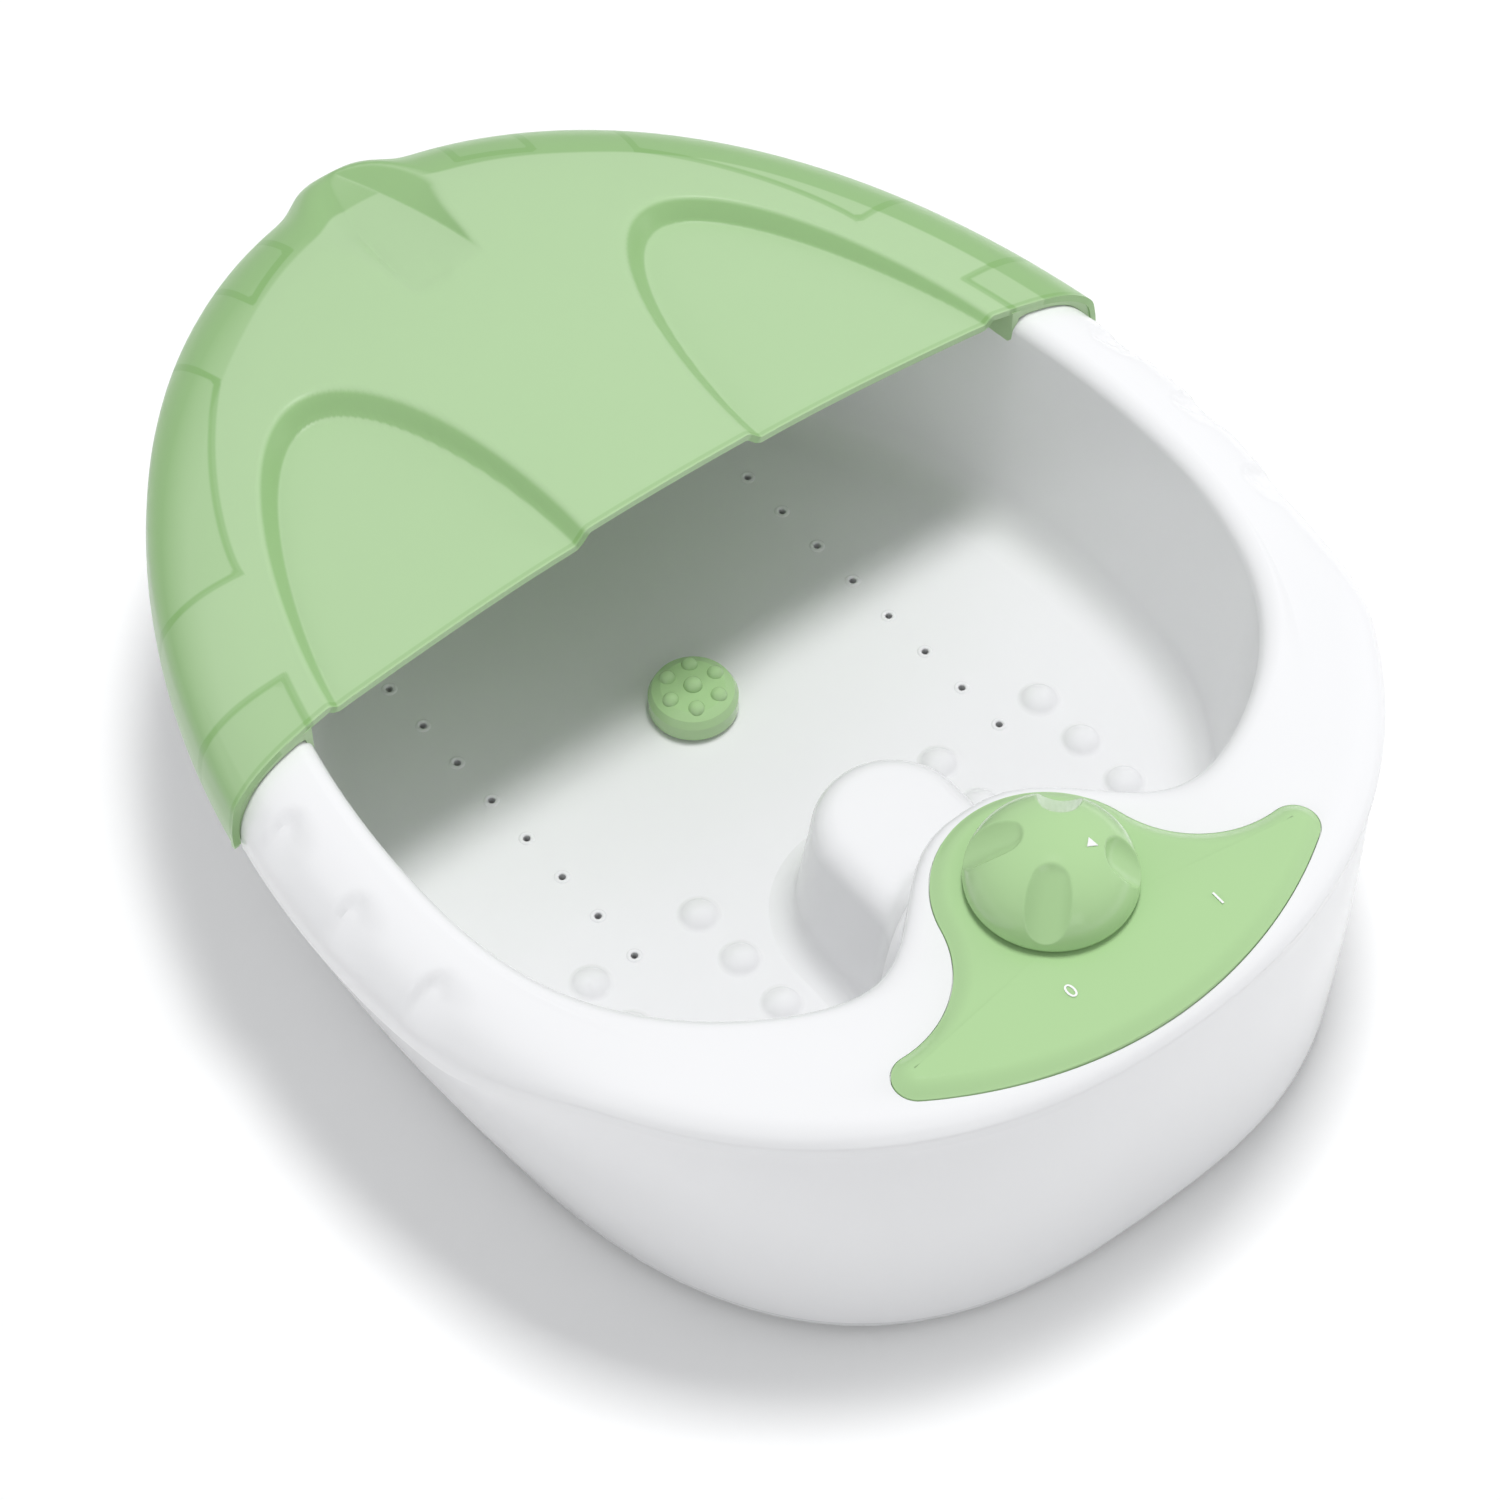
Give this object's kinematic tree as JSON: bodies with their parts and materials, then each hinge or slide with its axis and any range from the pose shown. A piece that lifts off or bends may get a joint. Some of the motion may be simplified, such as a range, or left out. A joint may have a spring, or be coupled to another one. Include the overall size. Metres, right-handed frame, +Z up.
{
  "type": "foot spa basin",
  "caption": "Egg-shaped foot spa basin with a clip-on toe splash guard, heel control panel and rotary knob, and a bubble blower and heater under the basin.",
  "frame": {"origin": "middle of the overall box on the surface that the feet stand on", "axes": "X is the width, +Y points from the heel to the toes, Z is up"},
  "size_m": [0.324, 0.4104, 0.1345],
  "materials": {
    "white_shell": "glossy injection-moulded white",
    "white_base": "satin moulded white",
    "green_plastic": "glossy leaf green",
    "clear_green": "glossy transparent leaf green",
    "black_plastic": "matt black",
    "rubber_black": "soft matt black",
    "screw_steel": "zinc-plated",
    "motor_steel": "drawn steel",
    "ferrite": "ground ferrite",
    "copper_winding": "lacquered copper",
    "bronze_bearing": "sintered bronze",
    "hose_grey": "soft silicone",
    "heater_aluminium": "satin",
    "heater_steel": "heat-tinted steel sheath",
    "board_green": "solder-masked laminate",
    "filter_foam": "open-cell foam"
  },
  "bodies": {
    "basin": {"tub": "white_shell", "outer_housing": "white_shell", "bottom_cover": "white_base", "rubber_feet": "rubber_black", "cover_screws": "screw_steel", "cord_gland": "rubber_black", "control_panel": "green_plastic", "panel_screws": "screw_steel", "switch_body": "black_plastic", "switch_nut": "screw_steel", "motor_can": "motor_steel", "motor_end_cap": "black_plastic", "motor_magnets": "ferrite", "lower_bearing": "bronze_bearing", "upper_bearing": "bronze_bearing", "brush_holders": "bronze_bearing", "blower_housing": "black_plastic", "blower_cover": "black_plastic", "blower_screws": "screw_steel", "blower_mounts": "rubber_black", "riser_hose": "hose_grey", "air_channel": "white_base", "heater_plate": "heater_aluminium", "heater_element": "heater_steel", "thermostat": "heater_aluminium", "thermal_fuse": "heater_aluminium", "terminal_block": "white_base", "rectifier_board": "board_green", "intake_filter": "filter_foam"},
    "knob": {"knob": "green_plastic", "switch_shaft": "screw_steel"},
    "fan": {"armature": "copper_winding", "rotor_shaft": "screw_steel", "commutator": "copper_winding", "impeller": "white_base"},
    "splash_guard": {"splash_guard": "clear_green"},
    "massage_attachment": {"massage_attachment": "green_plastic"}
  },
  "joints": [
    {"name": "knob_turn", "type": "hinge", "parent": "basin", "child": "knob", "pos_m": [0, -0.14925, 0.1135], "axis": [0, 0, 1], "range_deg": [-75, 0]},
    {"name": "fan_spin", "type": "hinge", "parent": "basin", "child": "fan", "pos_m": [0, -0.14925, 0.03], "axis": [0, 0, 1], "continuous": true},
    {"name": "splash_guard_lift", "type": "slide", "parent": "basin", "child": "splash_guard", "axis": [0, 0, 1], "range_m": [0, 0.12]},
    {"name": "massage_attachment_lift", "type": "slide", "parent": "basin", "child": "massage_attachment", "axis": [0, 0, 1], "range_m": [0, 0.06]}
  ]
}
